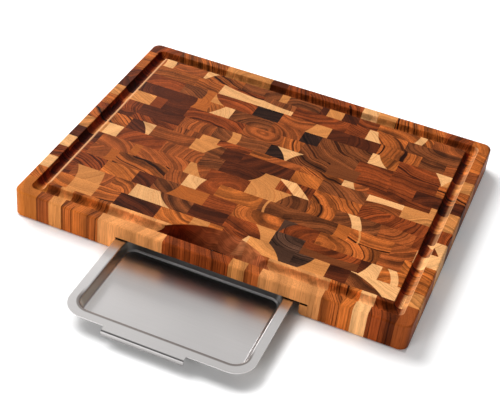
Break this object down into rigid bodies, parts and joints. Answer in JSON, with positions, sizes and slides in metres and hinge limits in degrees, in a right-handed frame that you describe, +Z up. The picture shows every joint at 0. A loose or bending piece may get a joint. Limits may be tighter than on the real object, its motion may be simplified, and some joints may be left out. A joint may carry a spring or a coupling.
{
  "type": "cutting board with tray",
  "caption": "End-grain teak cutting board with a juice groove, a scooped chute in its front edge and a stainless steel tray that slides out from under the chute.",
  "frame": {"origin": "middle of the board's underside, on the surface it lies on", "axes": "+X to the right along the front of the board, +Y from its front to its back, +Z up; the tray slides out in -Y"},
  "size_m": [0.508, 0.54, 0.0375],
  "materials": {
    "teak": "oiled",
    "stainless_steel": "brushed"
  },
  "bodies": {
    "board": {"block_row_01": "teak", "block_row_02": "teak", "block_row_03": "teak", "block_row_04": "teak", "block_row_05": "teak", "block_row_06": "teak", "block_row_07": "teak", "block_row_08": "teak", "block_row_09": "teak", "block_row_10": "teak", "block_row_11": "teak", "block_row_12": "teak", "block_row_13": "teak", "block_row_14": "teak", "block_row_15": "teak", "block_row_16": "teak"},
    "tray": {"tray": "stainless_steel"}
  },
  "joints": [
    {"name": "tray_slide", "type": "slide", "parent": "board", "child": "tray", "axis": [0, -1, 0], "range_m": [-0.136, 0.012]}
  ]
}
